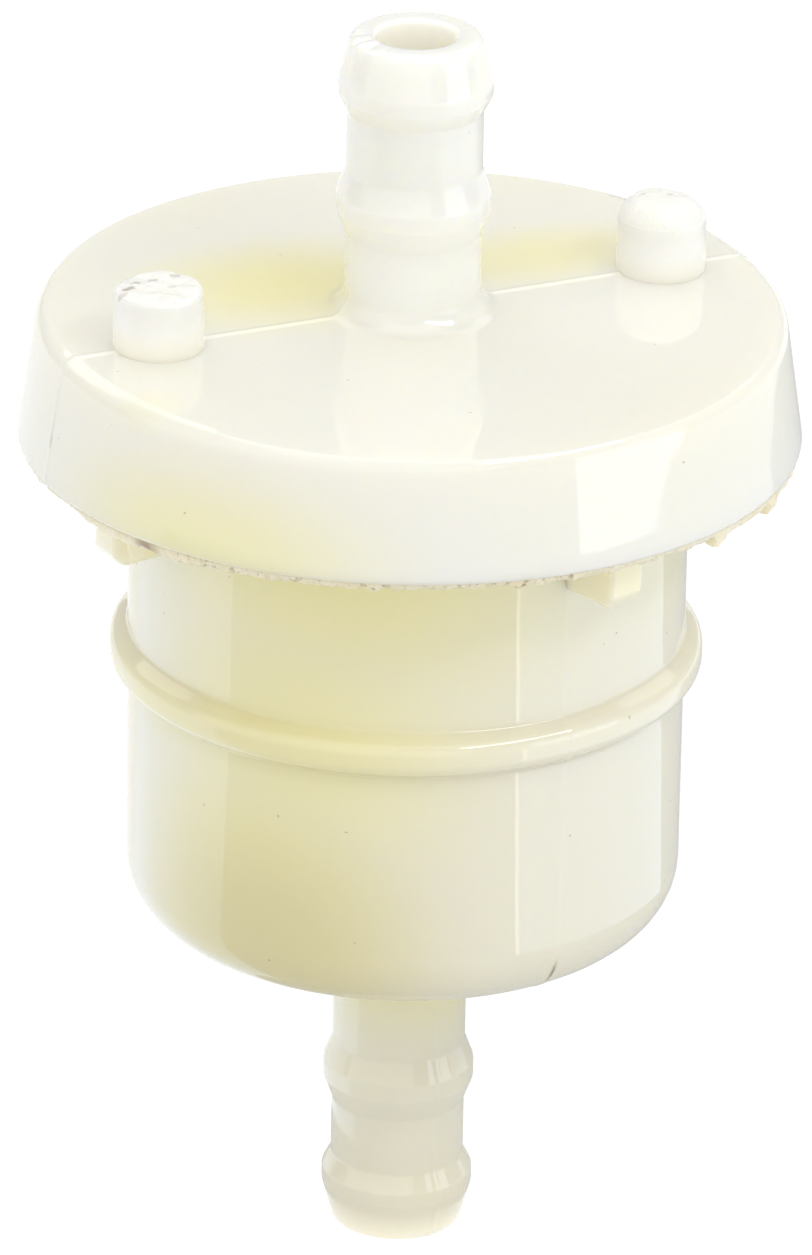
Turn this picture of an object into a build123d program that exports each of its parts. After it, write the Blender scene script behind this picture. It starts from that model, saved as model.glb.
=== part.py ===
from build123d import *
import os
from math import cos, pi, radians, sin, tan

# In-line fuel filter for a small engine, in millimetres.
# Origin: centre of the outlet's end face. +Z runs up the flow axis to the inlet.
# The cap's two gate posts stand on the X axis, over the mould parting plane y = 0.

# ---- hose nozzles, the same at both ends; distances run inwards from the end face
TOTAL_HEIGHT = 61.5
PASSAGE_R = 1.9
TIP_R = 3.1
NECK_R = 3.22
BARB_R = 3.65
TIP_BARB_START = 2.1
TIP_BARB_END = 2.8
TIP_BARB_FOOT = 3.65
INNER_BARB_HEAD = 6.6
INNER_BARB_START = 7.75
INNER_BARB_END = 8.6
INNER_BARB_FOOT = 9.75
NOZZLE_ROOT_ROUND = 1.0

# ---- bowl, the lower half of the housing
BOWL_R = 13.3
WALL = 1.5
BOWL_BOTTOM_Z = 16.75
BOWL_CORNER_ROUND = 3.2
BEAD_Z = 30.65
BEAD_HEIGHT = 2.3
BEAD_CREST_HEIGHT = 1.2
BEAD_PROUD = 0.85
FLANGE_R = 17.0
FLANGE_BOTTOM_Z = 41.7
FLANGE_TOP_Z = 43.5
GUSSET_COUNT = 4
GUSSET_FIRST_ANGLE = 10.0
GUSSET_WIDTH = 1.8
GUSSET_R = 16.8
GUSSET_BOTTOM_Z = 38.3
GUSSET_CHAMFER = 0.6

# ---- cap, the upper half of the housing
CAP_TOP_Z = 47.95
CAP_THICKNESS = 2.1
CAP_RIM_R = 17.65
CAP_RIM_ROUND = 1.1
CAP_DRAFT = 1.0
CAP_RIDGE_DROP = 0.05
SKIRT_R = 18.6
SKIRT_BOTTOM_Z = 41.5
FLASH_TRAP_R = 15.9
POST_OFFSET = 12.9
POST_R = 2.1
POST_TOP_Z = 51.0
POST_ROUND = 0.35
RIB_COUNT = 4
RIB_WIDTH = 1.0
RIB_INNER_R = 3.0
RIB_OUTER_R = 9.6

# ---- weld bead squeezed out under the skirt
WELD_INNER_R = 16.3
WELD_OUTER_R = 18.35
WELD_BOTTOM_Z = 41.05

# ---- filter element inside the housing
DISC_R = 10.2
DISC_THICKNESS = 0.8
DISC_LIP_WALL = 0.4
DISC_LIP_DEPTH = 1.4
ADHESIVE_DEPTH = 1.2
UPPER_DISC_TOP_Z = 43.45
LOWER_DISC_BOTTOM_Z = 20.35
ELEMENT_NECK_R = 3.6
ELEMENT_NECK_HOLE_R = 2.6
ELEMENT_NECK_BOTTOM_Z = 18.75
GASKET_R = 6.0
CORE_R = 4.0
CORE_WALL = 0.8
CORE_WINDOW_COLUMNS = 4
CORE_WINDOW_ROWS = 4
CORE_WINDOW_WIDTH = 2.4
CORE_WINDOW_HEIGHT = 3.4
PLEAT_COUNT = 24
PLEAT_OUTER_R = 9.4
PLEAT_INNER_R = 4.5
PAPER_THICKNESS = 0.25
FOLD_WIDTH = 0.45
CLIP_WIDTH = 1.3
CLIP_DEPTH = 1.2

BOWL_FLOOR_Z = BOWL_BOTTOM_Z + WALL + 0.1
BOWL_BORE_R = BOWL_R - WALL
CAP_UNDERSIDE_Z = CAP_TOP_Z - CAP_THICKNESS
ADHESIVE_R = DISC_R - DISC_LIP_WALL


def revolved(*corners):
    """Solid of revolution about Z from (radius, height, corner rounding) corners."""
    points = [(radius, height) for radius, height, _ in corners]
    roundings = [rounding for _, _, rounding in corners]
    outline = FilletPolyline(*points, radius=roundings, close=True)
    return revolve(Plane.XZ * make_face(outline), Axis.Z)


def ring(inner_r, outer_r, bottom_z, top_z):
    """Plain ring or, with no inner radius, a plain disc."""
    height = top_z - bottom_z
    body = Cylinder(outer_r, height)
    if inner_r > 0:
        body -= Cylinder(inner_r, height)
    return Pos(0, 0, (bottom_z + top_z) / 2) * body


def barb_corners(end_z, inward):
    """Nozzle outline from the passage at the end face along the outside to the last neck."""
    steps = [
        (PASSAGE_R, 0.0, 0.25),
        (TIP_R, 0.0, 0.5),
        (BARB_R, TIP_BARB_START, 0.8),
        (BARB_R, TIP_BARB_END, 0.3),
        (NECK_R, TIP_BARB_FOOT, 0.4),
        (NECK_R, INNER_BARB_HEAD, 0.6),
        (BARB_R, INNER_BARB_START, 0.6),
        (BARB_R, INNER_BARB_END, 0.5),
        (NECK_R, INNER_BARB_FOOT, 0.6),
    ]
    return [(radius, end_z + inward * distance, rounding) for radius, distance, rounding in steps]


def make_gusset(angle):
    """Radial web under the flange, from the bowl wall out to its chamfered toe."""
    inner_r = BOWL_R - WALL / 2
    outline = Polyline(
        (inner_r, FLANGE_BOTTOM_Z),
        (inner_r, GUSSET_BOTTOM_Z),
        (GUSSET_R - GUSSET_CHAMFER, GUSSET_BOTTOM_Z),
        (GUSSET_R, GUSSET_BOTTOM_Z + GUSSET_CHAMFER),
        (GUSSET_R, FLANGE_BOTTOM_Z),
        close=True,
    )
    web = extrude(Plane.XZ * make_face(outline), GUSSET_WIDTH / 2, both=True)
    return Rot(0, 0, angle) * web


def make_bowl():
    """Cup with its outlet nozzle, locating bead, weld flange and gussets, moulded as one."""
    bead_foot = BEAD_HEIGHT / 2
    bead_crest = BEAD_CREST_HEIGHT / 2
    bead_r = BOWL_R + BEAD_PROUD
    body = revolved(
        *barb_corners(0.0, 1),
        (NECK_R, BOWL_BOTTOM_Z, NOZZLE_ROOT_ROUND),
        (BOWL_R, BOWL_BOTTOM_Z, BOWL_CORNER_ROUND),
        (BOWL_R, BEAD_Z - bead_foot, 0.3),
        (bead_r, BEAD_Z - bead_crest, 0.75),
        (bead_r, BEAD_Z + bead_crest, 0.75),
        (BOWL_R, BEAD_Z + bead_foot, 0.3),
        (BOWL_R, FLANGE_BOTTOM_Z, 0.4),
        (FLANGE_R, FLANGE_BOTTOM_Z, 0.0),
        (FLANGE_R, FLANGE_TOP_Z, 0.0),
        (BOWL_R, FLANGE_TOP_Z, 0.3),
        (BOWL_R, CAP_UNDERSIDE_Z, 0.0),
        (BOWL_BORE_R, CAP_UNDERSIDE_Z, 0.0),
        (BOWL_BORE_R, BOWL_FLOOR_Z, BOWL_CORNER_ROUND - WALL),
        (PASSAGE_R, BOWL_FLOOR_Z, 0.3),
    )
    for index in range(GUSSET_COUNT):
        body += make_gusset(GUSSET_FIRST_ANGLE + index * 360 / GUSSET_COUNT)
    return body


def make_cap():
    """Lid with its flared skirt, drafted top, inlet nozzle, gate posts and inner ribs."""
    body = revolved(
        (PASSAGE_R, CAP_UNDERSIDE_Z, 0.0),
        (FLASH_TRAP_R, CAP_UNDERSIDE_Z, 0.5),
        (FLASH_TRAP_R, FLANGE_TOP_Z, 0.0),
        (FLANGE_R, FLANGE_TOP_Z, 0.0),
        (FLANGE_R, SKIRT_BOTTOM_Z, 0.0),
        (SKIRT_R, SKIRT_BOTTOM_Z, 0.25),
        (CAP_RIM_R, CAP_TOP_Z, CAP_RIM_ROUND),
        (PASSAGE_R, CAP_TOP_Z, 0.0),
    )
    # The top falls away by the draft angle on each side of the parting plane.
    fall = 2 * SKIRT_R * tan(radians(CAP_DRAFT))
    roof = Polyline(
        (0, 0),
        (2 * SKIRT_R, -fall),
        (2 * SKIRT_R, CAP_THICKNESS),
        (-2 * SKIRT_R, CAP_THICKNESS),
        (-2 * SKIRT_R, -fall),
        close=True,
    )
    above = extrude(Plane.YZ * make_face(roof), 2 * SKIRT_R, both=True)
    body -= Pos(0, 0, CAP_TOP_Z - CAP_RIDGE_DROP) * above
    root_z = CAP_TOP_Z - 0.15
    body += revolved(
        (PASSAGE_R, CAP_UNDERSIDE_Z, 0.0),
        (NECK_R + 2 * NOZZLE_ROOT_ROUND, CAP_UNDERSIDE_Z, 0.0),
        (NECK_R + 2 * NOZZLE_ROOT_ROUND, root_z, 0.0),
        (NECK_R, root_z, NOZZLE_ROOT_ROUND),
        *reversed(barb_corners(TOTAL_HEIGHT, -1)),
    )
    post = revolved(
        (0.0, CAP_UNDERSIDE_Z + 0.5, 0.0),
        (POST_R, CAP_UNDERSIDE_Z + 0.5, 0.0),
        (POST_R, POST_TOP_Z, POST_ROUND),
        (0.0, POST_TOP_Z, 0.0),
    )
    for side in (-1, 1):
        body += Pos(side * POST_OFFSET, 0, 0) * post
    rib_length = RIB_OUTER_R - RIB_INNER_R
    rib_height = CAP_UNDERSIDE_Z - UPPER_DISC_TOP_Z
    rib = Box(rib_length, RIB_WIDTH, rib_height, align=(Align.MIN, Align.CENTER, Align.MIN))
    for index in range(RIB_COUNT):
        angle = (index + 0.5) * 360 / RIB_COUNT
        body += Rot(0, 0, angle) * Pos(RIB_INNER_R, 0, UPPER_DISC_TOP_Z) * rib
    return body


def make_weld_bead(bowl):
    """Nylon squeezed out of the joint, lying under the skirt and the flange edge."""
    bead = revolved(
        (WELD_INNER_R, FLANGE_BOTTOM_Z, 0.0),
        (WELD_INNER_R, WELD_BOTTOM_Z + 0.3, 0.1),
        (FLANGE_R, WELD_BOTTOM_Z, 0.3),
        (WELD_OUTER_R - 0.4, WELD_BOTTOM_Z, 0.2),
        (WELD_OUTER_R, SKIRT_BOTTOM_Z, 0.0),
        (FLANGE_R, SKIRT_BOTTOM_Z, 0.0),
        (FLANGE_R, FLANGE_BOTTOM_Z, 0.0),
    )
    return bead - bowl


def make_end_disc(face_z, side):
    """Cup-shaped end disc: a flat face and a lip that holds the adhesive. side points inwards."""
    inner_z = face_z + side * DISC_THICKNESS
    lip_z = inner_z + side * DISC_LIP_DEPTH
    face = ring(0, DISC_R, min(face_z, inner_z), max(face_z, inner_z))
    lip = ring(ADHESIVE_R, DISC_R, min(inner_z, lip_z), max(inner_z, lip_z))
    return face + lip


def make_lower_end_disc():
    """Open end disc with the short neck that carries clean fuel down to the outlet."""
    neck = ring(0, ELEMENT_NECK_R, ELEMENT_NECK_BOTTOM_Z, LOWER_DISC_BOTTOM_Z)
    hole = ring(0, ELEMENT_NECK_HOLE_R, ELEMENT_NECK_BOTTOM_Z, LOWER_DISC_BOTTOM_Z + DISC_THICKNESS)
    return make_end_disc(LOWER_DISC_BOTTOM_Z, 1) + neck - hole


def make_core_tube(bottom_z, top_z):
    """Centre tube with rows of windows, which keeps the pleats from collapsing inwards."""
    tube = ring(CORE_R - CORE_WALL, CORE_R, bottom_z, top_z)
    window = Box(
        2 * CORE_R, CORE_WINDOW_WIDTH, CORE_WINDOW_HEIGHT,
        align=(Align.MIN, Align.CENTER, Align.CENTER),
    )
    pitch = (top_z - bottom_z) / (CORE_WINDOW_ROWS + 0.5)
    for row in range(CORE_WINDOW_ROWS):
        height = bottom_z + (row + 0.75) * pitch
        for column in range(CORE_WINDOW_COLUMNS):
            tube -= Rot(0, 0, column * 360 / CORE_WINDOW_COLUMNS) * Pos(0, 0, height) * window
    return tube


def pleat_face(growth):
    """Star-shaped face through the folds of the paper, grown by growth on every wall."""
    corners = []
    for index in range(2 * PLEAT_COUNT):
        radius = PLEAT_OUTER_R if index % 2 == 0 else PLEAT_INNER_R
        for side in (-1, 1):
            angle = index * pi / PLEAT_COUNT + side * FOLD_WIDTH / 2 / radius
            corners.append((radius * cos(angle), radius * sin(angle)))
    return offset(make_face(Polyline(*corners, close=True)), growth)


def make_pleated_paper(bottom_z, top_z):
    """One closed band of paper folded into radial pleats."""
    half = PAPER_THICKNESS / 2
    section = pleat_face(half) - pleat_face(-half)
    return Pos(0, 0, bottom_z) * extrude(section, top_z - bottom_z)


def make_seam_clip(bottom_z, top_z):
    """Folded strip that closes the band where the two ends of the paper meet."""
    height = top_z - bottom_z
    strip = Box(CLIP_DEPTH, CLIP_WIDTH, height, align=(Align.MAX, Align.CENTER, Align.MIN))
    strip = Pos(ADHESIVE_R, 0, bottom_z) * strip
    strip &= ring(0, ADHESIVE_R, bottom_z, top_z)
    inside = Pos(0, 0, bottom_z) * extrude(pleat_face(PAPER_THICKNESS / 2), height)
    return strip - inside


bowl = make_bowl()
cap = make_cap()

upper_inner_z = UPPER_DISC_TOP_Z - DISC_THICKNESS
lower_inner_z = LOWER_DISC_BOTTOM_Z + DISC_THICKNESS
paper_bottom_z = lower_inner_z + ADHESIVE_DEPTH
paper_top_z = upper_inner_z - ADHESIVE_DEPTH

nodes = {
    "bowl": bowl,
    "cap": cap,
    "weld_bead": make_weld_bead(bowl),
    "outlet_gasket": ring(ELEMENT_NECK_R, GASKET_R, BOWL_FLOOR_Z, LOWER_DISC_BOTTOM_Z),
    "lower_end_disc": make_lower_end_disc(),
    "lower_adhesive": ring(CORE_R, ADHESIVE_R, lower_inner_z, paper_bottom_z),
    "core_tube": make_core_tube(lower_inner_z, upper_inner_z),
    "pleated_paper": make_pleated_paper(paper_bottom_z, paper_top_z),
    "paper_seam_clip": make_seam_clip(paper_bottom_z, paper_top_z),
    "upper_adhesive": ring(CORE_R, ADHESIVE_R, paper_top_z, upper_inner_z),
    "upper_end_disc": make_end_disc(UPPER_DISC_TOP_Z, -1),
}

os.makedirs("parts", exist_ok=True)
for name, shape in nodes.items():
    export_step(shape, f"parts/{name}.step")
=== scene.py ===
from math import acos, atan2, cos, exp, pi, radians, sin, tan

import bmesh
import bpy
import numpy as np
from mathutils import Matrix, Quaternion, Vector, noise


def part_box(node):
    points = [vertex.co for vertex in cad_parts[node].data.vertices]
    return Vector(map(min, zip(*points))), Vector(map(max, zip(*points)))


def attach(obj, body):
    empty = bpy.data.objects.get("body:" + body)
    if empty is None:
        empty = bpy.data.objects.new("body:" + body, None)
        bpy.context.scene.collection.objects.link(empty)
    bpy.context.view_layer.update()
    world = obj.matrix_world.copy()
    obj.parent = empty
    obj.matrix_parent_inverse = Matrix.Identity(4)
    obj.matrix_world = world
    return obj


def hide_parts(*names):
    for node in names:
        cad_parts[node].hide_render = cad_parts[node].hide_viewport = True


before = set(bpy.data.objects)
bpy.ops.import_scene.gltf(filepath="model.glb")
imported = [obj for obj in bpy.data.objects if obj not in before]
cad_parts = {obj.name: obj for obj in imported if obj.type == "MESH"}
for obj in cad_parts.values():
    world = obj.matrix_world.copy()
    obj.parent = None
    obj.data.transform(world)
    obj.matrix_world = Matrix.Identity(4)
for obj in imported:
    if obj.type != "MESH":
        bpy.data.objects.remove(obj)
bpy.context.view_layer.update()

MM = 0.001

# ---------------------------------------------------------------- sizes, in millimetres
# Outer sizes come from the frame, and the rest repeat the part's own driving dimensions.
TOTAL_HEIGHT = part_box("cap")[1].z / MM
SKIRT_BOTTOM_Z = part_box("cap")[0].z / MM
FLANGE_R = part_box("bowl")[1].x / MM
CAP_UNDERSIDE_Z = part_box("bowl")[1].z / MM
SKIRT_R = 18.6

PASSAGE_R = 1.9
TIP_R = 3.1
NECK_R = 3.22
BARB_R = 3.65
TIP_BARB_START = 2.1
TIP_BARB_END = 2.8
TIP_BARB_FOOT = 3.65
INNER_BARB_HEAD = 6.6
INNER_BARB_START = 7.75
INNER_BARB_END = 8.6
INNER_BARB_FOOT = 9.75
NOZZLE_ROOT_ROUND = 1.0

BOWL_R = 13.3
WALL = 1.5
BOWL_BOTTOM_Z = 16.75
BOWL_FLOOR_Z = BOWL_BOTTOM_Z + WALL + 0.1
BOWL_CORNER_ROUND = 3.2
BEAD_Z = 30.65
BEAD_FOOT = 1.15
BEAD_CREST = 0.6
BEAD_R = BOWL_R + 0.85
FLANGE_BOTTOM_Z = 41.7
FLANGE_TOP_Z = 43.5
GUSSET_ANGLES = (12.0, 100.0, 188.5, 283.5)
GUSSET_WIDTH = 1.8
GUSSET_R = 16.8
GUSSET_BOTTOM_Z = 38.3
GUSSET_CHAMFER = 0.6
GUSSET_SEED = 5

CAP_TOP_Z = 47.95
CAP_RIM_R = 17.65
CAP_RIM_ROUND = 1.1
CAP_DRAFT = tan(radians(1.0))
CAP_RIDGE_DROP = 0.05
FLASH_TRAP_R = 15.9
POST_OFFSET = 12.9
POST_R = 2.1
POST_TOP_Z = 51.0

BOWL_PARTING_ANGLE = 100.0
CAP_PARTING_ANGLE = 0.0
SEAM_WIDTH = 0.18
SEAM_HEIGHT = 0.035

# The cap was welded on slightly askew: its top rises towards this angle, by this much per mm.
LEAN_ANGLE = 66.0
LEAN = 0.017

# Flash: how far it hangs and reaches out, and its torn tabs as angle, half width and depth.
FLASH_HANG = 0.26
FLASH_R = 18.42
FLASH_TABS = (
    (298.5, 1.7, 0.6), (307.0, 9.0, 0.2), (315.0, 2.2, 0.65), (321.0, 6.0, 0.3), (328.5, 1.3, 0.5),
    (197.0, 9.0, 0.22), (212.0, 7.0, 0.2), (163.0, 2.2, 0.5),
)

# Chips round the inlet's mouth: the middle of the chipped side, its spread and their depth.
CHIP_ANGLE = 185.0
CHIP_SPREAD = 38.0
CHIP_DEPTH = 0.22


# ---------------------------------------------------------------- outlines and meshes
def rounded(corners, closed=True, arc_step=radians(9), longest=1.2):
    """Outline through (radius, height, rounding) corners, each rounding drawn as an arc."""
    count = len(corners)
    points = []
    for index, (radius, height, rounding) in enumerate(corners):
        here = Vector((radius, height))
        at_end = not closed and index in (0, count - 1)
        if rounding == 0 or at_end:
            points.append(here)
            continue
        before = Vector(corners[index - 1][:2]) - here
        after = Vector(corners[(index + 1) % count][:2]) - here
        before.normalize()
        after.normalize()
        half = acos(max(-1.0, min(1.0, before.dot(after)))) / 2
        middle = (before + after).normalized()
        centre = here + middle * (rounding / sin(half))
        reach = rounding / tan(half)
        first = here + before * reach - centre
        turn = (here + after * reach - centre).angle_signed(first)
        steps = max(2, round(abs(turn) / arc_step))
        for step in range(steps + 1):
            a = turn * step / steps
            spoke = Vector((first.x * cos(a) - first.y * sin(a), first.x * sin(a) + first.y * cos(a)))
            points.append(centre + spoke)
    dense = []
    last = len(points) if closed else len(points) - 1
    for index in range(last):
        start, end = points[index], points[(index + 1) % len(points)]
        pieces = max(1, int((end - start).length / longest) + 1)
        dense += [start.lerp(end, step / pieces) for step in range(pieces)]
    if not closed:
        dense.append(points[-1])
    return np.array(dense)


def barb_corners(end_z, inward):
    """Nozzle corners from the passage at the end face along the outside to the last neck."""
    steps = [
        (PASSAGE_R, 0.0, 0.25),
        (TIP_R, 0.0, 0.5),
        (BARB_R, TIP_BARB_START, 0.8),
        (BARB_R, TIP_BARB_END, 0.3),
        (NECK_R, TIP_BARB_FOOT, 0.4),
        (NECK_R, INNER_BARB_HEAD, 0.6),
        (BARB_R, INNER_BARB_START, 0.6),
        (BARB_R, INNER_BARB_END, 0.5),
        (NECK_R, INNER_BARB_FOOT, 0.6),
    ]
    return [(radius, end_z + inward * distance, rounding) for radius, distance, rounding in steps]


def fan(count, seams=()):
    """Angles in degrees round the axis, packed closer beside each parting line."""
    angles = set(np.round(np.arange(count) * 360 / count, 4))
    for line in seams:
        for offset in (0, 0.13, 0.27, 0.42, 0.6, 0.85, 1.2, 1.7, 2.4, 3.4):
            angles.add(round((line + offset) % 360, 4))
            angles.add(round((line - offset) % 360, 4))
    return np.array(sorted(angles))


def outward(outline):
    """Unit normal of a closed outline at each point, pointing out of the solid."""
    along = np.roll(outline, -1, axis=0) - np.roll(outline, 1, axis=0)
    normal = np.stack([along[:, 1], -along[:, 0]], axis=1)
    normal /= np.linalg.norm(normal, axis=1, keepdims=True) + 1e-12
    radius, height = outline.T
    area = np.sum(radius * np.roll(height, -1) - height * np.roll(radius, -1))
    return normal * np.sign(area)


def mesh_object(name, vertices, faces, sharp=radians(38)):
    """Smooth-shaded object from vertices in millimetres."""
    mesh = bpy.data.meshes.new(name)
    mesh.from_pydata([tuple(v) for v in np.asarray(vertices) * MM], [], faces)
    work = bmesh.new()
    work.from_mesh(mesh)
    bmesh.ops.recalc_face_normals(work, faces=work.faces)
    work.to_mesh(mesh)
    work.free()
    mesh.shade_smooth()
    mesh.set_sharp_from_angle(angle=sharp)
    piece = bpy.data.objects.new(name, mesh)
    bpy.context.scene.collection.objects.link(piece)
    return piece


def turned(name, angles, section, shape=None):
    """Closed ring body: section(angle) gives its outline there, and shape moves its points."""
    outlines = np.stack([section(angle) for angle in angles])
    normals = np.stack([outward(outline) for outline in outlines])
    theta = np.radians(angles)[:, None]
    if shape is not None:
        outlines = outlines + shape(theta, outlines, normals)
    radius, height = outlines[..., 0], outlines[..., 1]
    vertices = np.stack([radius * np.cos(theta), radius * np.sin(theta), height], axis=-1)
    rows, columns = radius.shape
    index = np.arange(rows * columns).reshape(rows, columns)
    right = np.roll(index, -1, axis=0)
    above = np.roll(index, -1, axis=1)
    both = np.roll(right, -1, axis=1)
    faces = np.stack([index, right, both, above], axis=-1).reshape(-1, 4)
    return mesh_object(name, vertices.reshape(-1, 3), faces.tolist())


def seam(theta, outlines, normals, parting_angle, outer):
    """Thin raised line where the mould halves met, on the outer skin only."""
    across = outlines[..., 0] * np.sin(theta - radians(parting_angle))
    lift = SEAM_HEIGHT * np.exp(-((across / SEAM_WIDTH) ** 2)) * outer
    return normals * lift[..., None]


# ---------------------------------------------------------------- bowl
def bowl_outline():
    return rounded([
        *barb_corners(0.0, 1),
        (NECK_R, BOWL_BOTTOM_Z, NOZZLE_ROOT_ROUND),
        (BOWL_R, BOWL_BOTTOM_Z, BOWL_CORNER_ROUND),
        (BOWL_R, BEAD_Z - BEAD_FOOT, 0.3),
        (BEAD_R, BEAD_Z - BEAD_CREST, 0.75),
        (BEAD_R, BEAD_Z + BEAD_CREST, 0.75),
        (BOWL_R, BEAD_Z + BEAD_FOOT, 0.3),
        (BOWL_R, FLANGE_BOTTOM_Z, 0.4),
        (FLANGE_R, FLANGE_BOTTOM_Z, 0.1),
        (FLANGE_R, FLANGE_TOP_Z, 0.1),
        (BOWL_R, FLANGE_TOP_Z, 0.3),
        (BOWL_R, CAP_UNDERSIDE_Z, 0.0),
        (BOWL_R - WALL, CAP_UNDERSIDE_Z, 0.0),
        (BOWL_R - WALL, BOWL_FLOOR_Z, BOWL_CORNER_ROUND - WALL),
        (PASSAGE_R, BOWL_FLOOR_Z, 0.3),
    ])


def make_bowl():
    outline = bowl_outline()
    radius, height = outline.T
    cavity = (radius < BOWL_R - WALL + 0.05) & (height > BOWL_FLOOR_Z - 0.05)
    outer = ~(cavity | (radius < PASSAGE_R + 0.3))

    def shape(theta, outlines, normals):
        return seam(theta, outlines, normals, BOWL_PARTING_ANGLE, outer)

    seams = (BOWL_PARTING_ANGLE, BOWL_PARTING_ANGLE + 180)
    return turned("bowl_shell", fan(200, seams), lambda angle: outline, shape)


def make_gussets():
    """The webs under the flange, softened by the heat of the weld."""
    work = bmesh.new()
    inner_r = BOWL_R - WALL / 2
    outline = [
        (inner_r, FLANGE_BOTTOM_Z + 0.2),
        (inner_r, GUSSET_BOTTOM_Z),
        (GUSSET_R - GUSSET_CHAMFER, GUSSET_BOTTOM_Z),
        (GUSSET_R, GUSSET_BOTTOM_Z + GUSSET_CHAMFER),
        (GUSSET_R, FLANGE_BOTTOM_Z + 0.2),
    ]
    for angle in GUSSET_ANGLES:
        turn = Matrix.Rotation(radians(angle), 3, "Z")
        sides = []
        for side in (-1, 1):
            corners = [turn @ Vector((r, side * GUSSET_WIDTH / 2, z)) * MM for r, z in outline]
            sides.append([work.verts.new(corner) for corner in corners])
        work.faces.new(sides[0])
        work.faces.new(sides[1][::-1])
        for start in range(len(outline)):
            end = (start + 1) % len(outline)
            work.faces.new([sides[0][end], sides[0][start], sides[1][start], sides[1][end]])
    bmesh.ops.recalc_face_normals(work, faces=work.faces)
    bmesh.ops.bevel(
        work, geom=work.edges[:], offset=0.28 * MM, segments=3, profile=0.6, affect="EDGES",
    )
    bmesh.ops.subdivide_edges(work, edges=work.edges[:], cuts=2, use_grid_fill=True)
    # Blender draws noise_vector's offsets from the clock unless a seed is set.
    noise.seed_set(GUSSET_SEED)
    for vertex in work.verts:
        vertex.co += noise.noise_vector(vertex.co / MM * 0.9) * 0.10 * MM
    mesh = bpy.data.meshes.new("bowl_gussets")
    work.to_mesh(mesh)
    work.free()
    mesh.shade_smooth()
    piece = bpy.data.objects.new("bowl_gussets", mesh)
    bpy.context.scene.collection.objects.link(piece)
    return piece


# ---------------------------------------------------------------- cap
def flare_angle():
    """How far the skirt's side leans out from the vertical."""
    return atan2(SKIRT_R - CAP_RIM_R, CAP_TOP_Z - SKIRT_BOTTOM_Z)


def cap_roof(radius, slope):
    """Height of the drafted top at a radius, where slope is its fall along that radius."""
    return CAP_TOP_Z - CAP_RIDGE_DROP - radius * slope


def cap_section(angle):
    """Outline of the cap at one angle, in which only the drafted top changes."""
    slope = abs(sin(radians(angle))) * CAP_DRAFT
    lean = flare_angle()
    corner = radians(90) + lean
    rim_r = CAP_RIM_R - CAP_RIM_ROUND / tan(corner / 2)
    rim_z = CAP_TOP_Z - CAP_RIM_ROUND
    root_r = NECK_R + NOZZLE_ROOT_ROUND
    root_z = cap_roof(root_r, slope)

    nozzle = rounded([
        (PASSAGE_R, CAP_UNDERSIDE_Z, 0.0),
        *barb_corners(TOTAL_HEIGHT, -1),
        (NECK_R, CAP_TOP_Z + NOZZLE_ROOT_ROUND + 0.4, 0.0),
    ], closed=False)
    # The root fillet turns slowly near 36 degrees, where it is nearly a flat facet.
    bend = np.radians([0, 14, 25, 31, 34, 36, 38, 41, 48, 60, 72, 82, 90])
    facing = (bend[1:] + bend[:-1]) / 2
    path = np.cumsum(np.stack([np.sin(facing), -np.cos(facing)], axis=1), axis=0)
    path = np.concatenate([[(0.0, 0.0)], path / abs(path[-1])])
    fillet = (NECK_R, root_z + NOZZLE_ROOT_ROUND) + NOZZLE_ROOT_ROUND * path
    meet = 0.3
    for _ in range(20):
        wanted = (cap_roof(rim_r + CAP_RIM_ROUND * sin(meet), slope) - rim_z) / CAP_RIM_ROUND
        meet = acos(min(1.0, wanted))
    run = np.linspace(root_r, rim_r + CAP_RIM_ROUND * sin(meet), 34)[1:]
    top = np.stack([run, cap_roof(run, slope)], axis=1)
    round_over = np.linspace(meet, radians(90) - lean, 13)[1:]
    rim = np.stack([
        rim_r + CAP_RIM_ROUND * np.sin(round_over),
        rim_z + CAP_RIM_ROUND * np.cos(round_over),
    ], axis=1)
    below = rounded([
        (*rim[-1], 0.0),
        (SKIRT_R, SKIRT_BOTTOM_Z, 0.25),
        (FLANGE_R, SKIRT_BOTTOM_Z, 0.0),
        (FLANGE_R, FLANGE_TOP_Z, 0.0),
        (FLASH_TRAP_R, FLANGE_TOP_Z, 0.0),
        (FLASH_TRAP_R, CAP_UNDERSIDE_Z, 0.5),
        (PASSAGE_R, CAP_UNDERSIDE_Z, 0.0),
    ], closed=False)
    return np.concatenate([nozzle, fillet, top, rim, below[1:-1]])


def leaned(x, y, height):
    """Extra height of a point of the cap, from nothing at the skirt's foot to all at the top."""
    share = np.clip((height - SKIRT_BOTTOM_Z) / (CAP_TOP_Z - CAP_RIM_ROUND - SKIRT_BOTTOM_Z), 0, 1)
    along = x * cos(radians(LEAN_ANGLE)) + y * sin(radians(LEAN_ANGLE))
    return LEAN * along * share


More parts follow.
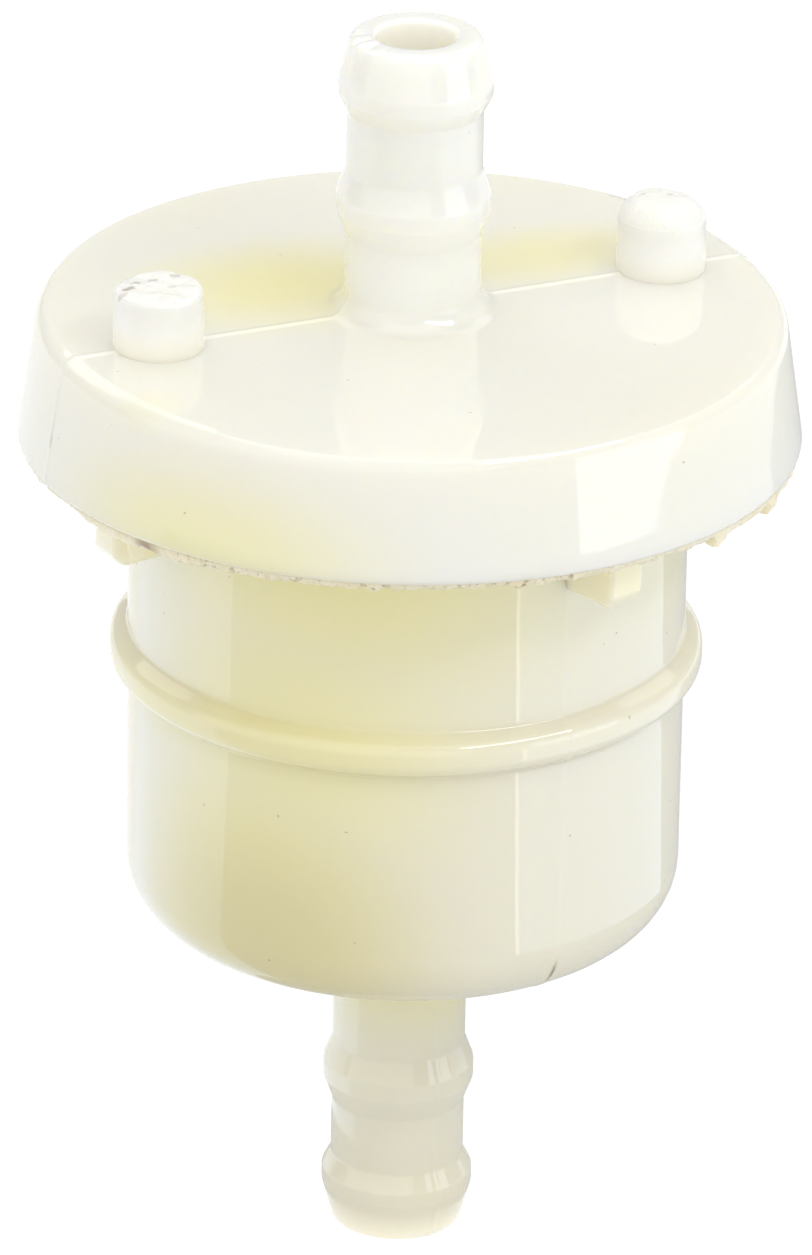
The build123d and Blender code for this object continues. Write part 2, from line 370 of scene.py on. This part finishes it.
def make_cap():
    outline = cap_section(0.0)
    radius, height = outline.T
    inside = (radius < FLANGE_R + 0.02) & (height < FLANGE_TOP_Z + 0.02)
    trap = (radius < FLASH_TRAP_R + 0.02) & (height < CAP_UNDERSIDE_Z + 0.02)
    outer = ~(inside | trap | (radius < PASSAGE_R + 0.3))

    def shape(theta, outlines, normals):
        across, up = outlines[..., 0], outlines[..., 1]
        drawn = outer * np.where(up > CAP_TOP_Z + 1.2, 0.3, 1.0)
        moved = seam(theta, outlines, normals, CAP_PARTING_ANGLE, drawn)
        moved[..., 1] += leaned(across * np.cos(theta), across * np.sin(theta), up) * outer
        tip = np.clip((up - TOTAL_HEIGHT + 0.8) / 0.6, 0, 1) * (across > PASSAGE_R + 0.3)
        chips = [max(0.0, noise.noise(Vector((6 * cos(a), 6 * sin(a), 1.5)))) for a in theta[:, 0]]
        worn = np.exp(-(((np.degrees(theta) - CHIP_ANGLE) / CHIP_SPREAD) ** 2)) * np.array(chips)[:, None]
        return moved - normals * (CHIP_DEPTH * worn * tip)[..., None]

    seams = (CAP_PARTING_ANGLE, CAP_PARTING_ANGLE + 180)
    return turned("cap_shell", fan(220, seams), cap_section, shape)


def make_gate_post(name, side, shoulder_z, shoulder, peak, seed):
    """Short post on the cap where the moulding gate tore off, leaving a rough top."""
    columns = 120
    outline = rounded([
        (POST_R + 0.04, CAP_TOP_Z - 0.6, 0.0),
        (POST_R, shoulder_z, shoulder),
        (0.0, shoulder_z, 0.0),
    ], closed=False, longest=0.14)[:-1]
    vertices = []
    for radius, height in outline:
        for column in range(columns):
            angle = 2 * pi * column / columns
            x, y = radius * cos(angle), radius * sin(angle)
            torn = max(0.0, min(1.0, (height - shoulder_z + shoulder) / shoulder))
            coarse = noise.turbulence(Vector((x * 0.8, y * 0.8, seed)), 3, False) - 0.35
            fine = noise.turbulence(Vector((x * 2.2, y * 2.2, seed + 9)), 3, True) - 0.4
            dome = 1 - (radius / POST_R) ** 2.3
            spike = exp(-((x - 0.45) ** 2 + (y - 0.65) ** 2) / 0.35)
            lift = torn * (0.14 * coarse + 0.05 * fine + peak * (dome + 0.35 * spike))
            scrape = 1 + 0.010 * noise.noise(Vector((x, y, height * 2.2 + seed)))
            px, py = side * POST_OFFSET + x * scrape, y * scrape
            vertices.append((px, py, height + lift + leaned(px, py, CAP_TOP_Z)))
    rings = len(outline)
    faces = []
    for ring in range(rings - 1):
        for column in range(columns):
            beside = (column + 1) % columns
            low, high = ring * columns, (ring + 1) * columns
            faces.append([low + column, low + beside, high + beside, high + column])
    top = np.mean(vertices[-columns:], axis=0)
    bottom = (side * POST_OFFSET, 0.0, vertices[0][2])
    vertices += [tuple(top), bottom]
    last = (rings - 1) * columns
    for column in range(columns):
        beside = (column + 1) % columns
        faces.append([last + column, last + beside, len(vertices) - 2])
        faces.append([beside, column, len(vertices) - 1])
    return mesh_object(name, vertices, faces, sharp=radians(60))


# ---------------------------------------------------------------- weld bead
def make_weld_bead():
    """Ragged nylon squeezed out under the skirt, with torn tabs of flash hanging from it."""
    def ragged(angle):
        at = radians(angle)
        where = Vector((cos(at), sin(at), 0.0))
        slow = noise.noise(where * 6)
        quick = noise.noise(where * 34)
        fine = noise.noise(where * 120)
        torn = 0.10 * slow + 0.17 * quick + 0.08 * fine
        hang = max(0.0, FLASH_HANG + torn)
        for centre, width, depth in FLASH_TABS:
            apart = (angle - centre + 180) % 360 - 180
            hang += depth * max(0.0, 1 - (apart / width) ** 2)
        reach = FLASH_R + 0.10 * noise.noise(where * 21 + Vector((0, 0, 4))) + 0.05 * fine
        low = SKIRT_BOTTOM_Z - 0.12 - hang
        return np.array([
            (16.3, FLANGE_BOTTOM_Z),
            (16.4, SKIRT_BOTTOM_Z - 0.05),
            (16.8, SKIRT_BOTTOM_Z - 0.22),
            (17.4, low + 0.18),
            (17.75, low + 0.03),
            (17.95, low),
            (18.12, low + 0.02),
            (reach - 0.06, low + 0.10 + 0.3 * hang),
            (reach, SKIRT_BOTTOM_Z - 0.06),
            (reach - 0.03, SKIRT_BOTTOM_Z + 0.02),
            (FLANGE_R + 0.01, SKIRT_BOTTOM_Z + 0.02),
            (FLANGE_R, FLANGE_BOTTOM_Z),
        ])

    return turned("weld_flash", np.arange(0, 360, 0.36), ragged)


# ---------------------------------------------------------------- materials
def new_material(name):
    material = bpy.data.materials.new(name)
    material.use_nodes = True
    tree = material.node_tree
    return material, tree, tree.nodes["Principled BSDF"]


def add(tree, kind, inputs=(), **settings):
    """New node with its settings and inputs, where an input is a value or a socket."""
    node = tree.nodes.new(kind)
    for key, value in settings.items():
        setattr(node, key, value)
    for key, value in dict(inputs).items():
        if isinstance(value, bpy.types.NodeSocket):
            tree.links.new(value, node.inputs[key])
        else:
            node.inputs[key].default_value = value
    return node


def place(tree):
    """Position in the row frame, in millimetres."""
    coordinates = add(tree, "ShaderNodeTexCoord")
    scaled = add(tree, "ShaderNodeVectorMath", {0: coordinates.outputs["Object"], 1: (1000,) * 3},
                 operation="MULTIPLY")
    return scaled.outputs[0]


def noise_at(tree, position, scale, detail=3.0, roughness=0.5):
    return add(tree, "ShaderNodeTexNoise", {
        "Vector": position, "Scale": scale, "Detail": detail, "Roughness": roughness,
    }).outputs["Fac"]


def spread(tree, value, low, high, to_low=0.0, to_high=1.0):
    """Maps low..high of a value to to_low..to_high, clamped."""
    return add(tree, "ShaderNodeMapRange", {
        "Value": value, "From Min": low, "From Max": high, "To Min": to_low, "To Max": to_high,
    }).outputs["Result"]


def mixed(tree, factor, one, other):
    """Colour between two colours or colour sockets."""
    node = add(tree, "ShaderNodeMix", data_type="RGBA")
    for socket, value in ((node.inputs["Factor"], factor), (node.inputs[6], one), (node.inputs[7], other)):
        if isinstance(value, bpy.types.NodeSocket):
            tree.links.new(value, socket)
        elif socket.type == "RGBA":
            socket.default_value = (*value, 1.0)
        else:
            socket.default_value = value
    return node.outputs[2]


def combine(tree, operation, one, other):
    return add(tree, "ShaderNodeMath", {0: one, 1: other}, operation=operation).outputs[0]


def bump(tree, shader, height, distance_mm, strength=1.0):
    node = add(tree, "ShaderNodeBump", {
        "Height": height, "Distance": distance_mm * MM, "Strength": strength,
    })
    tree.links.new(node.outputs["Normal"], shader.inputs["Normal"])


NYLON_PALE = (0.838, 0.834, 0.802)
NYLON_IVORY = (0.85, 0.833, 0.75)
NYLON_CREAM = (0.83, 0.79, 0.64)
NYLON_DEEP = (0.88, 0.82, 0.46)
# Darker amber for the painted shade on the bowl.
PAINTED_SHADE_AMBER = (0.68, 0.62, 0.35)
NYLON_TORN = (0.86, 0.85, 0.80)
WELD_BROWN = (0.66, 0.56, 0.32)
SCORCH = (0.13, 0.07, 0.025)
NYLON_IOR = 1.53
NYLON_SPECULAR = 0.8
SCATTER_MM = 2.0
SCATTER_WEIGHT = 0.5
SCATTER_WEIGHT_INLET = 0.95
SCATTER_RADIUS = (1.0, 0.85, 0.5)

# Weak emission: painted light that stands for light shining through thin nylon, and lifts the shade at the
# feet of the inlet and posts, on the gussets and on the weld under the skirt.
PASSAGE_GLOW = 0.15
ROOT_GLOW = 0.07
POST_FOOT_GLOW = 0.2
POST_GLOW = 0.14
FLANGE_GLOW = 0.05
WELD_GLOW = 0.13
NYLON_LIGHT = (1.0, 0.95, 0.86, 1.0)
POST_LIGHT = (1.0, 0.97, 0.88, 1.0)
WELD_LIGHT = (1.0, 0.86, 0.56, 1.0)


def blob(tree, position, centre, radii):
    """Soft spot, 1 in the middle of an ellipsoid and 0 outside it."""
    offset = add(tree, "ShaderNodeVectorMath", {0: position, 1: centre}, operation="SUBTRACT")
    scaled = add(tree, "ShaderNodeVectorMath", {0: offset.outputs[0], 1: radii}, operation="DIVIDE")
    far = add(tree, "ShaderNodeVectorMath", {0: scaled.outputs[0]}, operation="LENGTH")
    fade = add(tree, "ShaderNodeMapRange", {
        "Value": far.outputs["Value"], "From Min": 1.0, "From Max": 0.0,
    }, interpolation_type="SMOOTHERSTEP")
    return fade.outputs["Result"]


def near_line(tree, position, angle, width):
    """1 on the side of a parting plane at this angle, fading out across the width."""
    side = (cos(radians(angle)), sin(radians(angle)), 0)
    across = add(tree, "ShaderNodeVectorMath", {0: position, 1: (-side[1], side[0], 0)},
                 operation="DOT_PRODUCT").outputs["Value"]
    along = add(tree, "ShaderNodeVectorMath", {0: position, 1: side},
                operation="DOT_PRODUCT").outputs["Value"]
    apart = add(tree, "ShaderNodeMath", {0: across}, operation="ABSOLUTE").outputs[0]
    thin = spread(tree, apart, 0.0, width, 1.0, 0.0)
    return combine(tree, "MULTIPLY", thin, spread(tree, along, 0.0, 1.0))


# Soft clouds of deeper yellow, placed from the photograph: centre, radii and strength.
CAP_CLOUDS = (
    ((-4.8, 4.8, 48.0), (11.0, 8.5, 4.0), 1.0),
    ((8.0, 3.6, 48.0), (10.5, 5.5, 3.0), 0.8),
    ((-15.6, -6.0, 47.4), (3.0, 3.0, 2.5), 0.25),
    ((-15.0, -10.6, 42.0), (13.5, 13.5, 6.0), 0.85),
)
BOWL_CLOUDS = (
    ((0.0, 0.0, 38.0), (24.0, 24.0, 6.0), 0.45),
    ((-8.0, -10.6, 40.5), (18.0, 16.0, 13.0), 1.0),
    ((3.9, -16.3, 39.8), (4.0, 4.0, 3.0), 0.35),
    ((-11.0, -4.0, 30.2), (15.0, 15.0, 3.4), 0.7),
    ((-9.5, -9.0, 31.0), (13.0, 13.0, 13.0), 0.9),
    ((-10.5, -7.5, 22.0), (11.0, 11.0, 15.0), 1.0),
    ((1.5, 0.0, 15.5), (15.0, 15.0, 6.5), 1.0),
    ((9.0, -9.5, 38.0), (7.0, 7.0, 6.0), 0.4),
)
# Painted shade on the bowl, darker low on its wall and on the bead.
PAINTED_SHADE_CLOUDS = (
    ((-10.5, -8.0, 19.0), (13.0, 13.0, 12.0), 0.85),
    ((-12.5, -9.0, 30.4), (15.0, 15.0, 2.4), 0.35),
)


def clouds(tree, position, spots):
    """The strongest of several soft clouds at each point."""
    found = 0.0
    for centre, radii, strength in spots:
        cloud = combine(tree, "MULTIPLY", blob(tree, position, centre, radii), strength)
        found = combine(tree, "MAXIMUM", cloud, found)
    return found


def nylon_colour(tree, position):
    """Cream bowl, ivory cap and pale inlet, with soft clouds of deeper yellow, and painted shade in amber low
    on the bowl and on its bead.
    """
    height = add(tree, "ShaderNodeSeparateXYZ", {0: position}).outputs["Z"]
    colour = mixed(tree, spread(tree, height, 40.5, 42.0), NYLON_CREAM, NYLON_IVORY)
    colour = mixed(tree, spread(tree, height, 47.9, 49.4), colour, NYLON_PALE)
    on_bowl = spread(tree, height, 41.2, 41.7, 1.0, 0.0)
    bowl_deep = combine(tree, "MULTIPLY", clouds(tree, position, BOWL_CLOUDS), on_bowl)
    on_cap = combine(tree, "SUBTRACT", 1.0, on_bowl)
    cap_deep = combine(tree, "MULTIPLY", clouds(tree, position, CAP_CLOUDS), on_cap)
    uneven = spread(tree, noise_at(tree, position, 0.07, 2.0), 0.45, 0.75, 0.0, 0.12)
    deep = combine(tree, "MAXIMUM", uneven, combine(tree, "MAXIMUM", bowl_deep, cap_deep))
    colour = mixed(tree, deep, colour, NYLON_DEEP)
    # Painted shade: the bowl turns darker amber low on its wall and on the bead.
    return mixed(tree, clouds(tree, position, PAINTED_SHADE_CLOUDS), colour, PAINTED_SHADE_AMBER)


def nylon_shader(shader):
    """The gloss and the milky scatter that all the nylon shares."""
    shader.inputs["IOR"].default_value = NYLON_IOR
    shader.inputs["Subsurface Weight"].default_value = SCATTER_WEIGHT
    shader.inputs["Subsurface Radius"].default_value = SCATTER_RADIUS
    shader.inputs["Subsurface Scale"].default_value = SCATTER_MM * MM
    shader.inputs["Specular IOR Level"].default_value = NYLON_SPECULAR


def nylon_dirt(tree, position):
    """Specks all over, dirt in the skirt's seam, two scorched dots and a crack by the bowl's seam."""
    speck = spread(tree, noise_at(tree, position, 3.0, 0.0), 0.89, 0.905, 0.0, 0.35)
    skirt_seam = combine(tree, "MULTIPLY", near_line(tree, position, 180.0, 0.22),
                         spread(tree, noise_at(tree, position, 0.5, 2.0), 0.35, 0.7, 0.05, 0.25))
    skirt = blob(tree, position, (-18.4, 0, 44.2), (1.6, 1.6, 4.2))
    skirt_seam = combine(tree, "MULTIPLY", skirt_seam, skirt)
    stain = combine(tree, "MULTIPLY", near_line(tree, position, 180.0, 0.2),
                    blob(tree, position, (-18.3, 0, 43.8), (1.5, 1.5, 0.7)))
    stain = combine(tree, "MULTIPLY", stain, 0.35)
    for spot in ((4.0, -16.5, 38.45), (4.95, -16.1, 38.9)):
        burnt = combine(tree, "MULTIPLY", blob(tree, position, spot, (0.4, 0.4, 0.3)), 0.7)
        stain = combine(tree, "MAXIMUM", stain, burnt)
    crack = combine(tree, "MULTIPLY", near_line(tree, position, 280.0, 0.16),
                    blob(tree, position, (2.15, -12.1, 18.4), (2.0, 2.0, 1.2)))
    fine = combine(tree, "MAXIMUM", speck, skirt_seam)
    return combine(tree, "MAXIMUM", fine, combine(tree, "MAXIMUM", stain, crack))


def nylon_glow(tree, position, level):
    """Painted light: glow in the inlet's passage, at the feet of inlet and posts, and on the gussets."""
    flat = add(tree, "ShaderNodeVectorMath", {0: position, 1: (1, 1, 0)}, operation="MULTIPLY")
    radius = add(tree, "ShaderNodeVectorMath", {0: flat.outputs[0]}, operation="LENGTH").outputs["Value"]
    inlet = spread(tree, level, 52.0, 68.0)
    wall = spread(tree, radius, 1.96, 2.12, PASSAGE_GLOW, 0.0)
    passage = combine(tree, "MULTIPLY", inlet, wall)
    neck = combine(tree, "MULTIPLY", spread(tree, radius, 3.6, 4.8, 1.0, 0.0),
                   spread(tree, level, 47.8, 48.2))
    neck = combine(tree, "MULTIPLY", neck, spread(tree, level, 48.0, 54.0, ROOT_GLOW, 0.0))
    glow = combine(tree, "ADD", passage, neck)
    for side in (-1, 1):
        foot = blob(tree, position, (side * POST_OFFSET, 0.0, CAP_TOP_Z), (3.4, 3.4, 1.5))
        glow = combine(tree, "ADD", glow, combine(tree, "MULTIPLY", foot, POST_FOOT_GLOW))
    webs = combine(tree, "MULTIPLY", spread(tree, radius, 13.4, 13.7), spread(tree, level, 36.5, 38.0))
    webs = combine(tree, "MULTIPLY", webs, spread(tree, level, 41.2, 41.7, FLANGE_GLOW, 0.0))
    return combine(tree, "ADD", glow, webs)


def make_nylon():
    """Glossy nylon with faint ripples, specks, dirty seams, painted shade low on the bowl and a weak painted
    glow where it is thin.
    """
    material, tree, shader = new_material("natural_nylon")
    position = place(tree)
    level = add(tree, "ShaderNodeSeparateXYZ", {0: position}).outputs["Z"]
    nylon_shader(shader)
    dirt = nylon_dirt(tree, position)
    colour = mixed(tree, dirt, nylon_colour(tree, position), SCORCH)
    tree.links.new(colour, shader.inputs["Base Color"])
    smudge = spread(tree, noise_at(tree, position, 0.35, 4.0), 0.3, 0.7, 0.02, 0.045)
    tree.links.new(smudge, shader.inputs["Roughness"])
    ripple = noise_at(tree, position, 0.22, 2.0)
    grain = noise_at(tree, position, 3.5, 3.0)
    height = combine(tree, "ADD", ripple, combine(tree, "MULTIPLY", grain, 0.02))
    bump(tree, shader, height, 0.10, 0.13)
    scatter = spread(tree, level, 47.5, 51.0, SCATTER_WEIGHT, SCATTER_WEIGHT_INLET)
    tree.links.new(scatter, shader.inputs["Subsurface Weight"])
    tree.links.new(nylon_glow(tree, position, level), shader.inputs["Emission Strength"])
    shader.inputs["Emission Color"].default_value = NYLON_LIGHT
    return material


def make_weld_nylon():
    """Remelted nylon, duller than the moulding and speckled with scorched bits, with a weak painted glow."""
    material, tree, shader = new_material("weld_nylon")
    position = place(tree)
    colour = mixed(tree, noise_at(tree, position, 0.8, 3.0), NYLON_CREAM, WELD_BROWN)
    dirt = noise_at(tree, position, 2.4, 4.0, 0.7)
    front = spread(tree, blob(tree, position, (-8.0, -15.0, 41.5), (19.0, 15.0, 8.0)), 0.0, 0.4)
    patch = spread(tree, noise_at(tree, position, 0.22, 2.0), 0.38, 0.52, 0.3, 1.0)
    where = combine(tree, "MULTIPLY", patch, front)
    speck = combine(tree, "MULTIPLY", spread(tree, dirt, 0.52, 0.62, 0.0, 0.8), where)
    scorch = blob(tree, position, (-16.4, -7.6, 41.2), (1.3, 1.3, 0.9))
    colour = mixed(tree, combine(tree, "MAXIMUM", speck, scorch), colour, SCORCH)
    tree.links.new(colour, shader.inputs["Base Color"])
    rough = spread(tree, noise_at(tree, position, 1.5, 3.0), 0.3, 0.7, 0.28, 0.6)
    tree.links.new(rough, shader.inputs["Roughness"])
    nylon_shader(shader)
    bump(tree, shader, noise_at(tree, position, 3.0, 4.0), 0.12, 0.6)
    # Painted light: a weak warm glow that lifts the shade under the skirt.
    shader.inputs["Emission Strength"].default_value = WELD_GLOW
    shader.inputs["Emission Color"].default_value = WELD_LIGHT
    return material


# Dirty spots on the torn tops: x, y, size and strength.
TORN_SPECKS = (
    (-14.85, -0.2, 0.7, 0.3), (-14.3, 0.3, 0.7, 0.5), (-13.7, 0.9, 0.6, 0.4), (-12.9, 0.8, 0.6, 0.35),
    (-11.7, 0.9, 0.6, 0.3), (-12.3, -0.2, 0.5, 0.2), (13.3, 0.1, 0.6, 0.25), (12.2, 0.7, 0.5, 0.2),
)


def make_torn_nylon():
    """Post nylon: smooth on the sides, whitened and pitted with dirt on the torn top, with a weak painted
    glow low on the sides.
    """
    material, tree, shader = new_material("torn_nylon")
    position = place(tree)
    height = add(tree, "ShaderNodeSeparateXYZ", {0: position}).outputs[2]
    torn = spread(tree, height, POST_TOP_Z - 0.7, POST_TOP_Z - 0.2)
    above_foot = spread(tree, height, CAP_TOP_Z - 0.2, CAP_TOP_Z + 1.2)
    side = mixed(tree, above_foot, NYLON_CREAM, NYLON_PALE)
    colour = mixed(tree, torn, side, NYLON_TORN)
    dirt = noise_at(tree, position, 2.6, 5.0, 0.75)
    speck = 0.0
    for x, y, size, strength in TORN_SPECKS:
        spot = blob(tree, position, (x, y, POST_TOP_Z), (size, size * 0.6, 1.4))
        spot = spread(tree, combine(tree, "MULTIPLY", spot, dirt), 0.16, 0.3, 0.0, strength)
        speck = combine(tree, "MAXIMUM", spot, speck)
    colour = mixed(tree, speck, colour, SCORCH)
    tree.links.new(colour, shader.inputs["Base Color"])
    rough = combine(tree, "ADD", combine(tree, "MULTIPLY", torn, 0.25), 0.14)
    tree.links.new(rough, shader.inputs["Roughness"])
    nylon_shader(shader)
    scrape = combine(tree, "ADD", noise_at(tree, position, 4.0, 4.0),
                     combine(tree, "MULTIPLY", noise_at(tree, position, 1.0, 2.0), 0.6))
    relief = combine(tree, "MULTIPLY", scrape, combine(tree, "ADD", torn, 0.15))
    bump(tree, shader, relief, 0.12, 0.5)
    # Painted light: a weak glow low on the post that lifts the shade at its foot.
    glow = spread(tree, height, CAP_TOP_Z, CAP_TOP_Z + 2.2, POST_GLOW, 0.0)
    tree.links.new(glow, shader.inputs["Emission Strength"])
    shader.inputs["Emission Color"].default_value = POST_LIGHT
    return material


def make_plain(name, light, dark, scale, roughness, relief, metallic=0.0):
    """Matt material for a hidden piece: two tones, a grain and a little relief."""
    material, tree, shader = new_material(name)
    position = place(tree)
    grain = noise_at(tree, position, scale, 5.0, 0.6)
    tree.links.new(mixed(tree, grain, light, dark), shader.inputs["Base Color"])
    rough = spread(tree, grain, 0.3, 0.7, roughness - 0.08, roughness + 0.08)
    tree.links.new(rough, shader.inputs["Roughness"])
    shader.inputs["Metallic"].default_value = metallic
    bump(tree, shader, grain, relief)
    return material


# ---------------------------------------------------------------- object
bowl = make_bowl()
gussets = make_gussets()
cap = make_cap()
posts = [
    make_gate_post("gate_post_left", -1, POST_TOP_Z - 0.2, 0.3, 0.05, 3.7),
    make_gate_post("gate_post_right", 1, POST_TOP_Z + 0.2, 0.9, 0.3, 8.2),
]
weld = make_weld_bead()

nylon = make_nylon()
for piece in (bowl, gussets, cap):
    piece.data.materials.append(nylon)
torn_nylon = make_torn_nylon()
for post in posts:
    post.data.materials.append(torn_nylon)
weld.data.materials.append(make_weld_nylon())

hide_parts("bowl")
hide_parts("cap")
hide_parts("weld_bead")
for piece in (bowl, gussets, cap, *posts):
    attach(piece, "root")
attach(weld, "root")

element_plastic = make_plain("element_plastic", (0.80, 0.79, 0.70), (0.72, 0.70, 0.60), 0.8, 0.45, 0.02)
adhesive = make_plain("adhesive", (0.66, 0.50, 0.24), (0.50, 0.33, 0.12), 0.5, 0.35, 0.05)
hidden = {
    "lower_end_disc": element_plastic,
    "upper_end_disc": element_plastic,
    "core_tube": element_plastic,
    "lower_adhesive": adhesive,
    "upper_adhesive": adhesive,
    "pleated_paper": make_plain("filter_paper", (0.80, 0.64, 0.38), (0.62, 0.45, 0.22), 3.0, 0.85, 0.05),
    "outlet_gasket": make_plain("gasket_rubber", (0.035, 0.035, 0.035), (0.02, 0.02, 0.02), 1.5, 0.6, 0.03),
    "paper_seam_clip": make_plain("seam_steel", (0.62, 0.62, 0.60), (0.45, 0.45, 0.44), 2.0, 0.35, 0.01, 1.0),
}
for node, material in hidden.items():
    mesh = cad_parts[node].data
    mesh.materials.clear()
    mesh.materials.append(material)


# ---------------------------------------------------------------- floor, light, camera
def make_stage(name, corners, faces, radiance, tint=(1.0, 1.0, 1.0), base=0.0):
    """Flat glowing piece of the studio."""
    mesh = bpy.data.meshes.new(name)
    mesh.from_pydata(corners, [], faces)
    piece = bpy.data.objects.new(name, mesh)
    bpy.context.scene.collection.objects.link(piece)
    material, tree, shader = new_material(name + "_surface")
    shader.inputs["Base Color"].default_value = (base, base, base, 1.0)
    shader.inputs["Roughness"].default_value = 0.9
    shader.inputs["Specular IOR Level"].default_value = 0.0
    shader.inputs["Emission Color"].default_value = (*tint, 1.0)
    shader.inputs["Emission Strength"].default_value = radiance
    mesh.materials.append(material)
    return piece


def floor_card(name, first, last, near, far, radiance, tint=(1.0, 1.0, 1.0)):
    """Glowing sector just above the floor, between two azimuths right of the camera."""
    steps = 24
    corners = []
    for step in range(steps + 1):
        angle = radians(CAMERA_AZIMUTH + first + (last - first) * step / steps)
        for radius in (near, far):
            corners.append((radius * sin(angle), -radius * cos(angle), CARD_LIFT))
    faces = [[2 * i, 2 * i + 1, 2 * i + 3, 2 * i + 2] for i in range(steps)]
    card = make_stage(name, corners, faces, radiance, tint)
    card.visible_camera = False


def from_camera(azimuth, elevation, distance, about):
    """Point at an azimuth right of the camera and an elevation, seen from a point."""
    angle = radians(CAMERA_AZIMUTH + azimuth)
    return about + distance * Vector((
        sin(angle) * cos(radians(elevation)),
        -cos(angle) * cos(radians(elevation)),
        sin(radians(elevation)),
    ))


def make_panel(name, azimuth, elevation, distance, width, height, radiance, tint=(1.0, 1.0, 1.0)):
    """Soft rectangular light that faces the cap."""
    light = bpy.data.lights.new(name, "AREA")
    light.shape = "RECTANGLE"
    light.size = width
    light.size_y = height
    light.energy = radiance * pi * width * height
    light.color = tint
    panel = bpy.data.objects.new(name, light)
    panel.location = from_camera(azimuth, elevation, distance, CAP_MIDDLE)
    panel.rotation_mode = "QUATERNION"
    panel.rotation_quaternion = (CAP_MIDDLE - panel.location).to_track_quat("-Z", "Y")
    panel.visible_camera = False
    bpy.context.scene.collection.objects.link(panel)


CAMERA_AZIMUTH = -24.0
CAMERA_ELEVATION = 23.8
CAMERA_DISTANCE = 0.5
CAMERA_ROLL = 1.03
CAMERA_LENS = 300.6
SENSOR_WIDTH = 36.0
AIM = Vector((0.0, 0.0, 0.0313))
CAP_MIDDLE = Vector((0.0, 0.0, CAP_TOP_Z * MM))
ROOM_HALF = 1.5
CARD_LIFT = 0.0004
SKY = 0.55
COOL = (0.80, 0.87, 1.0)

# A white floor, with white walls round it that only the camera sees.
corners = [(x * ROOM_HALF, y * ROOM_HALF, 0) for x, y in ((-1, -1), (1, -1), (1, 1), (-1, 1))]
make_stage("floor", corners, [(0, 1, 2, 3)], 1.0, base=0.1)
walls = corners + [(x, y, 2 * ROOM_HALF) for x, y, _ in corners]
sides = [(0, 1, 5, 4), (1, 2, 6, 5), (2, 3, 7, 6), (3, 0, 4, 7)]
backdrop = make_stage("backdrop", walls, sides, 1.0)
backdrop.visible_diffuse = False
backdrop.visible_glossy = False
backdrop.visible_shadow = False

# Bright and dim sectors of the floor, which the camera doesn't see, and the panels.
floor_card("foot_flag", -180, 180, 0.0042, 0.012, 0.65)
floor_card("left_card", -135, -71, 0.012, 0.11, 1.4, COOL)
floor_card("front_flag", -71, 43, 0.012, 0.25, 0.72)
floor_card("edge_card", 43, 44.4, 0.045, 0.11, 2.4)
floor_card("right_foot_flag", 43, 124, 0.012, 0.045, 0.65)
floor_card("right_card", 44.4, 124, 0.045, 0.11, 1.4, COOL)
floor_card("right_flag", 124, 178, 0.012, 0.16, 0.6)
make_panel("overhead_panel", 0, 84, 0.45, 0.60, 0.60, 0.80)
make_panel("back_panel", 180, 47, 0.45, 1.10, 0.24, 0.9)
make_panel("front_panel", -30, 20, 0.65, 1.80, 0.55, 0.56)
make_panel("key_panel", 50, 43, 0.40, 0.28, 0.045, 6.8)
make_panel("right_panel", 66.5, 2, 0.25, 0.167, 0.106, 1.4, COOL)

world = bpy.data.worlds.new("studio")
bpy.context.scene.world = world
world.use_nodes = True
background = world.node_tree.nodes["Background"]
background.inputs["Color"].default_value = (1.0, 1.0, 1.0, 1.0)
background.inputs["Strength"].default_value = SKY

camera_data = bpy.data.cameras.new("camera")
camera_data.sensor_width = SENSOR_WIDTH
camera_data.lens = CAMERA_LENS
camera = bpy.data.objects.new("camera", camera_data)
bpy.context.scene.collection.objects.link(camera)
camera.location = from_camera(0, CAMERA_ELEVATION, CAMERA_DISTANCE, AIM)
camera.rotation_mode = "QUATERNION"
roll = Quaternion((0, 0, 1), radians(CAMERA_ROLL))
camera.rotation_quaternion = (AIM - camera.location).to_track_quat("-Z", "Y") @ roll
camera_data.clip_start = 0.01
camera_data.clip_end = 10.0
bpy.context.scene.camera = camera
bpy.context.scene.view_settings.view_transform = "Standard"
